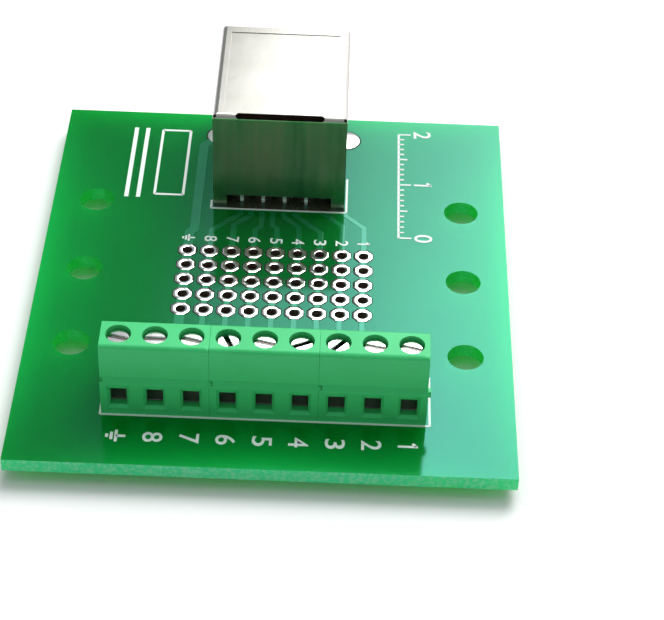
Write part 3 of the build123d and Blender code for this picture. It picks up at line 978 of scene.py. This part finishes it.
dress("circuit_board", mask_finish)
dress("solder_joints", solder_finish)
for number in range(1, 4):
    block = f"terminal_block_{number}"
    refined(block, terminal_finish, BLOCK_EDGE, long_edges=BLOCK_TOP)
refined("jack_shell", sheet_finish, SHELL_EDGE, long_edges=SHELL_TOP)
refined("jack_housing", jack_finish, HOUSING_EDGE)
refined("contact_carrier", jack_finish, CARRIER_EDGE)
for number in range(1, POLES + 1):
    refined(f"clamp_cage_{number}", cage_finish, CAGE_EDGE, f"cage_{number}")
    refined(f"contact_strip_{number}", strip_finish, STRIP_EDGE)
for number in range(1, CONTACTS + 1):
    refined(f"jack_contact_{number}", wire_finish, WIRE_EDGE)

# ---- Floor, light and camera -----------------------------------------------------------------------
# The floor glows a little from FLOOR_FADE beyond the board, and fully from FLOOR_REACH on.
FLOOR_GLOW = 0.4
FLOOR_FADE = 7 * mm
FLOOR_REACH = 400 * mm
LAMP_DISTANCE = 0.9
ROOM_COLOUR = (0.90, 0.97, 1.0, 1.0)
ROOM_STRENGTH = 0.34


def floor():
    """A wide white floor that keeps the object's shadow, with a painted shadow close round the board where
    its glow fades out.
    """
    shape = bmesh.new()
    bmesh.ops.create_grid(shape, x_segments=1, y_segments=1, size=3.0)
    mesh = bpy.data.meshes.new("floor")
    shape.to_mesh(mesh)
    shape.free()
    white = Finish("floor_white", (0.93, 0.91, 0.92), 0.9)
    white.set("Specular IOR Level", 0.0)
    white.set("Emission Color", (0.97, 0.985, 1.0, 1.0))
    path = white.node("ShaderNodeLightPath")
    seen = white.maths("MAXIMUM", path.outputs["Is Camera Ray"], path.outputs["Is Glossy Ray"])
    seen = white.maths("MAXIMUM", seen, path.outputs["Is Transmission Ray"])
    # There is no glow under the board, where the floor stays in shadow, and the glow fades in over FLOOR_FADE
    # beyond the outline, a painted shadow round the board.
    past_side = white.maths("SUBTRACT", white.maths("ABSOLUTE", white.axis("X")), board_high.x)
    past_end = white.maths("SUBTRACT", white.maths("ABSOLUTE", white.axis("Y")), board_high.y)
    outside = white.maths("MAXIMUM", past_side, past_end)
    near = (FLOOR_FADE / FLOOR_REACH, grey(FLOOR_GLOW))
    part_way = white.maths("DIVIDE", outside, FLOOR_REACH)
    away = white.ramp(part_way, (0.0, grey(0.0)), near, (0.35, grey(FLOOR_GLOW)), (1.0, grey(1.0)))
    white.link(white.maths("MULTIPLY", seen, away), white.shader.inputs["Emission Strength"])
    mesh.materials.append(white.material)
    made = bpy.data.objects.new("floor", mesh)
    bpy.context.scene.collection.objects.link(made)


def softbox(name, azimuth, elevation, size, radiance):
    """A rectangular lamp turned towards the object, its azimuth from +Y towards +X, in degrees."""
    a, e = math.radians(azimuth), math.radians(elevation)
    place = LAMP_DISTANCE * Vector((math.sin(a) * math.cos(e), math.cos(a) * math.cos(e), math.sin(e)))
    lamp = bpy.data.lights.new(name, "AREA")
    lamp.shape = "RECTANGLE"
    lamp.size, lamp.size_y = size
    lamp.energy = radiance * math.pi * size[0] * size[1]
    made = bpy.data.objects.new(name, lamp)
    made.location = place
    made.rotation_euler = (-place).to_track_quat("-Z", "Y").to_euler()
    bpy.context.scene.collection.objects.link(made)
    return lamp


def soft_side(lamp, start, end, least):
    """Makes a lamp fade across its width, from least at the start to full at the end."""
    lamp.use_nodes = True
    tree = lamp.node_tree
    across = tree.nodes.new("ShaderNodeNewGeometry")
    split = tree.nodes.new("ShaderNodeSeparateXYZ")
    fade = tree.nodes.new("ShaderNodeMapRange")
    for socket, value in (("From Min", start), ("From Max", end), ("To Min", least), ("To Max", 1.0)):
        fade.inputs[socket].default_value = value
    tree.links.new(across.outputs["Parametric"], split.inputs["Vector"])
    tree.links.new(split.outputs["X"], fade.inputs["Value"])
    tree.links.new(fade.outputs["Result"], tree.nodes["Emission"].inputs["Strength"])


def world():
    """A dim even room, white where the camera sees it."""
    made = bpy.data.worlds.new("studio")
    made.use_nodes = True
    tree = made.node_tree
    room = tree.nodes["Background"]
    room.inputs["Color"].default_value = ROOM_COLOUR
    room.inputs["Strength"].default_value = ROOM_STRENGTH
    backdrop = tree.nodes.new("ShaderNodeBackground")
    backdrop.inputs["Color"].default_value = (1.0, 1.0, 1.0, 1.0)
    path = tree.nodes.new("ShaderNodeLightPath")
    either = tree.nodes.new("ShaderNodeMixShader")
    tree.links.new(path.outputs["Is Camera Ray"], either.inputs["Fac"])
    tree.links.new(room.outputs["Background"], either.inputs[1])
    tree.links.new(backdrop.outputs["Background"], either.inputs[2])
    tree.links.new(either.outputs["Shader"], tree.nodes["World Output"].inputs["Surface"])
    bpy.context.scene.world = made


floor()
world()
window = softbox("window", 19.3, 52, (0.62, 0.70), 6.5)
soft_side(window, 1.0, 0.75, 0.12)
softbox("overhead", 0, 86, (0.9, 0.9), 0.3)
softbox("right_side", 42, 14, (0.7, 0.4), 1.2)

camera_data = bpy.data.cameras.new("camera")
camera_data.lens = 110.4
camera_data.sensor_width = 36.0
camera_data.clip_start = 0.01
camera = bpy.data.objects.new("camera", camera_data)
camera.location = (6.954 * mm, -175.325 * mm, 155.377 * mm)
camera.rotation_euler = Euler([math.radians(a) for a in (48.118, -1.622, 1.512)])
bpy.context.scene.collection.objects.link(camera)
bpy.context.scene.camera = camera
bpy.context.scene.view_settings.view_transform = "Standard"
